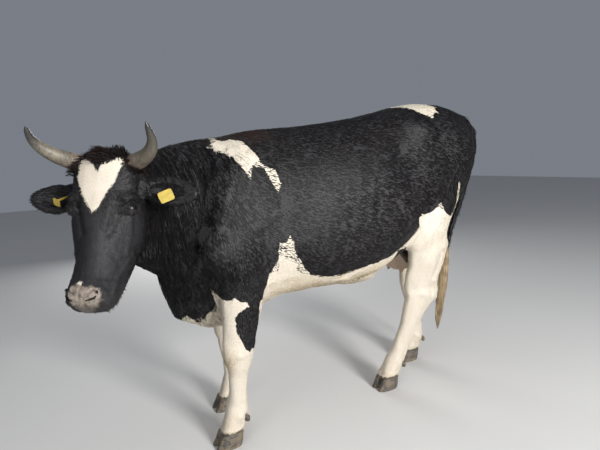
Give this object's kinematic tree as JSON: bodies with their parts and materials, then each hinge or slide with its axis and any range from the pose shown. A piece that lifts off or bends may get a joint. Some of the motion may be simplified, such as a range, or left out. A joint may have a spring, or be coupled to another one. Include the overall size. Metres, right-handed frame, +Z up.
{
  "type": "horned black-and-white cow, life-size still model",
  "caption": "Horned black-and-white cow standing with its head turned to the left, a still life-size model on cloven feet, with a hanging tail and plate ear tags.",
  "frame": {"origin": "on the floor under the centre of the bounding box", "axes": "+X towards the tail along the body, +Y towards the right side of the cow, +Z up"},
  "size_m": [2.188, 0.7782, 1.3946],
  "materials": {
    "black_coat": "short glossy black hair with a cool sheen, longer on the neck and poll",
    "white_coat": "short cream-white hair, stained yellow at the knees and feet",
    "nose_skin": "moist pebbled bare skin, grey-brown with pink at the lips",
    "udder_skin": "soft pink skin with fine pale hair",
    "horn": "grey-olive horn, ringed and pinkish at the base, dark at the tip",
    "claw": "dull dark grey-brown hoof horn with fine ridges",
    "eye": "wet, near black with a dark brown iris",
    "switch_hair": "long straw-brown hair in hanging locks",
    "tag": "yellow moulded plastic, scuffed"
  },
  "bodies": {
    "root": {"barrel": "black_coat", "chest": "black_coat", "claw_fore_left_inner": "claw", "claw_fore_left_outer": "claw", "claw_fore_right_inner": "claw", "claw_fore_right_outer": "claw", "claw_hind_left_inner": "claw", "claw_hind_left_outer": "claw", "claw_hind_right_inner": "claw", "claw_hind_right_outer": "claw", "dewclaw_fore_left_1": "claw", "dewclaw_fore_left_2": "claw", "dewclaw_fore_right_1": "claw", "dewclaw_fore_right_2": "claw", "dewclaw_hind_left_1": "claw", "dewclaw_hind_left_2": "claw", "dewclaw_hind_right_1": "claw", "dewclaw_hind_right_2": "claw", "ear_left": "black_coat", "ear_right": "black_coat", "ear_tag_left": "tag", "ear_tag_right": "tag", "eye_left": "eye", "eye_right": "eye", "fore_left_leg": "white_coat", "fore_left_shank": "white_coat", "fore_right_leg": "white_coat", "fore_right_shank": "white_coat", "head": "black_coat", "hind_left_leg": "white_coat", "hind_left_shank": "white_coat", "hind_right_leg": "white_coat", "hind_right_shank": "white_coat", "hindquarters": "black_coat", "horn_left": "horn", "horn_right": "horn", "lower_jaw": "black_coat", "muzzle": "nose_skin", "neck": "black_coat", "tail": "black_coat", "tail_switch": "switch_hair", "udder": "udder_skin"}
  },
  "joints": []
}
